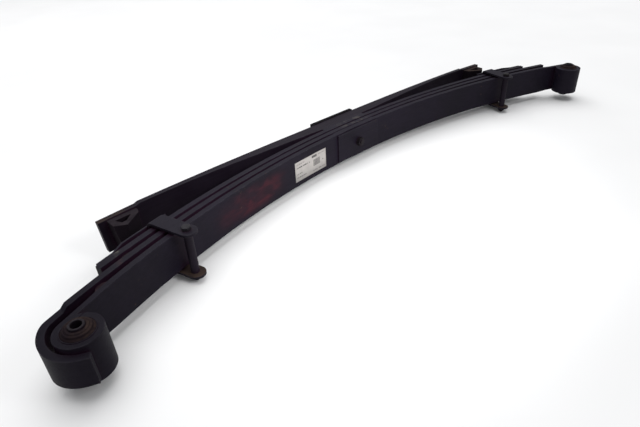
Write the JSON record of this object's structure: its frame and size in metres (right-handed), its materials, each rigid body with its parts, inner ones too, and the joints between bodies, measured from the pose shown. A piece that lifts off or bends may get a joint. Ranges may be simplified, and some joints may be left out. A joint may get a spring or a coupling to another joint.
{
  "type": "leaf spring",
  "caption": "Multi-leaf semi-elliptic leaf spring with rubber-bushed rolled eyes, bolted rebound clips, a tapered helper leaf and a clamped centre bolt",
  "frame": {"origin": "where the centre bolt's axis crosses the seat face of the axle pad, half way up the width of the leaves", "axes": "X runs from the front eye to the rear eye, Y out of the axle pad towards the axle, Z along the width of the leaves and the eye bolts; the spring lies on its side"},
  "size_m": [1.6151, 0.3363, 0.115],
  "materials": {
    "leaf_steel": "satin dark grey paint, dusty",
    "plate_steel": "satin near-black paint",
    "bolt_steel": "dull, dusty",
    "sleeve_steel": "dull, with a brown film",
    "bush_rubber": "matt, dusty brown",
    "liner_plastic": "matt",
    "label_paper": "matt white"
  },
  "bodies": {
    "spring": {"main_leaf": "leaf_steel", "second_leaf": "leaf_steel", "third_leaf": "leaf_steel", "helper_leaf": "leaf_steel", "axle_pad": "plate_steel", "helper_spacer": "plate_steel", "third_spacer": "plate_steel", "second_spacer": "plate_steel", "top_plate": "plate_steel", "centre_bolt": "bolt_steel", "centre_nut": "bolt_steel", "front_shell": "sleeve_steel", "front_rubber": "bush_rubber", "rear_shell": "sleeve_steel", "rear_rubber": "bush_rubber", "front_clip_strap": "leaf_steel", "front_clip_bolt": "bolt_steel", "front_clip_tube": "leaf_steel", "front_clip_nut": "bolt_steel", "front_clip_block": "plate_steel", "front_clip_rivet": "bolt_steel", "front_rub_plate": "leaf_steel", "rear_clip_strap": "leaf_steel", "rear_clip_bolt": "bolt_steel", "rear_clip_tube": "leaf_steel", "rear_clip_nut": "bolt_steel", "rear_clip_block": "plate_steel", "rear_clip_rivet": "bolt_steel", "rear_rub_plate": "leaf_steel", "front_helper_pad": "bush_rubber", "front_pad_rivet": "bolt_steel", "rear_helper_pad": "bush_rubber", "rear_pad_rivet": "bolt_steel", "front_main_liner": "liner_plastic", "front_second_liner": "liner_plastic", "rear_main_liner": "liner_plastic", "rear_second_liner": "liner_plastic", "label": "label_paper"},
    "front_bush_sleeve": {"front_sleeve": "sleeve_steel"},
    "rear_bush_sleeve": {"rear_sleeve": "sleeve_steel"}
  },
  "joints": [
    {"name": "front_bush_twist", "type": "hinge", "parent": "spring", "child": "front_bush_sleeve", "pos_m": [-0.764, -0.27783, 0], "axis": [0, 0, 1], "range_deg": [-30, 30], "stiffness_Nm_per_rad": 20},
    {"name": "rear_bush_twist", "type": "hinge", "parent": "spring", "child": "rear_bush_sleeve", "pos_m": [0.764, -0.27783, 0], "axis": [0, 0, 1], "range_deg": [-30, 30], "stiffness_Nm_per_rad": 20}
  ]
}
